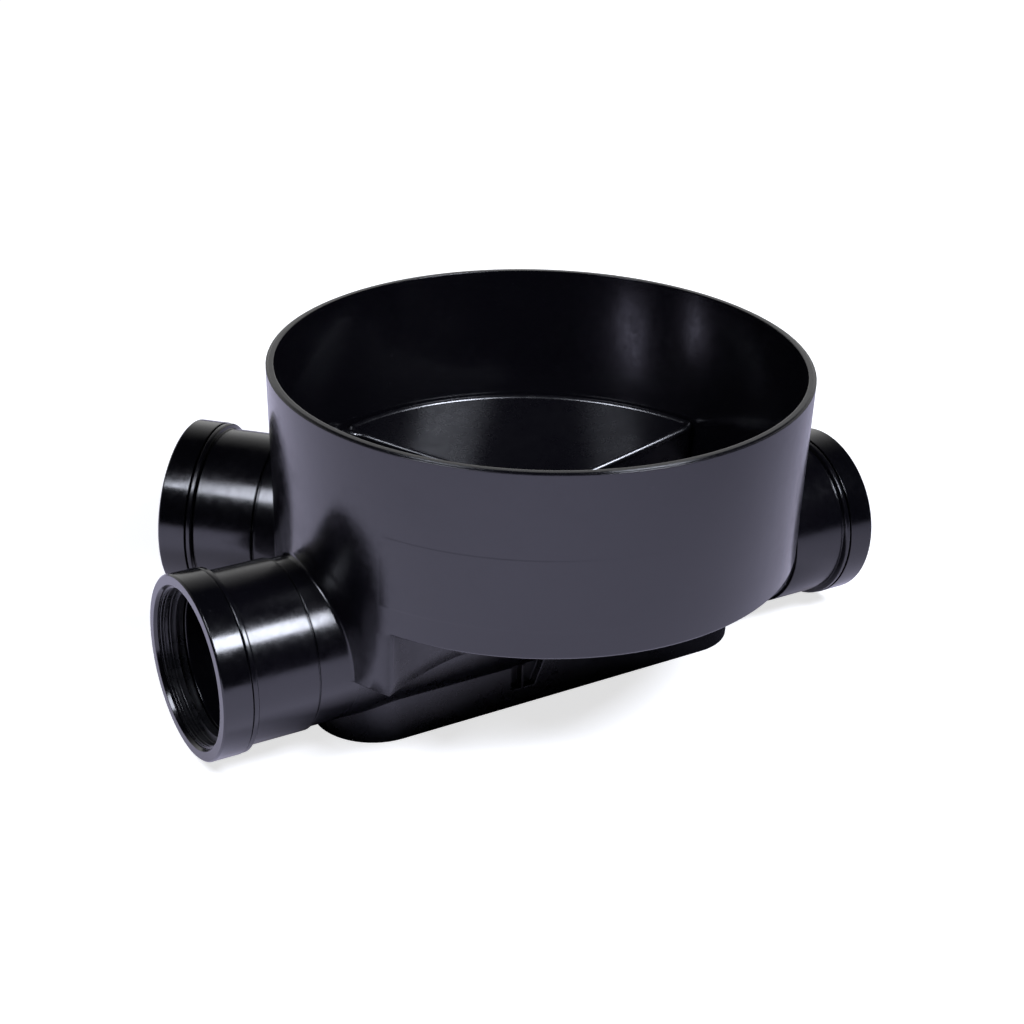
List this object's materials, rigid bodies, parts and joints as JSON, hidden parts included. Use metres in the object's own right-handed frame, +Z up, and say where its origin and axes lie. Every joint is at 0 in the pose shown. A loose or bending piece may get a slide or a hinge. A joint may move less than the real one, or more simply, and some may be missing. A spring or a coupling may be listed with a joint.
{
  "type": "drain inspection chamber base",
  "caption": "Moulded drain chamber base with an open drum, benched flow channel, straight-through pipe sockets and a 45 degree side inlet, each with a ring seal.",
  "frame": {"origin": "on the axis of the drum, in the plane of the underside of the foot, which rests on the bed", "axes": "+X along the main run towards the outlet, +Y towards the side that the branch is on, +Z up the drum"},
  "size_m": [0.5863, 0.46, 0.2679],
  "materials": {
    "black_plastic": "satin gloss, injection moulded, as moulded",
    "cap_plastic": "gloss, injection moulded, as moulded",
    "seal_rubber": "matt black rubber, lightly lubricated"
  },
  "bodies": {
    "root": {"base_moulding": "black_plastic", "inlet_cap": "cap_plastic", "inlet_seal": "seal_rubber", "outlet_cap": "cap_plastic", "outlet_seal": "seal_rubber", "branch_cap": "cap_plastic", "branch_seal": "seal_rubber"}
  },
  "joints": []
}
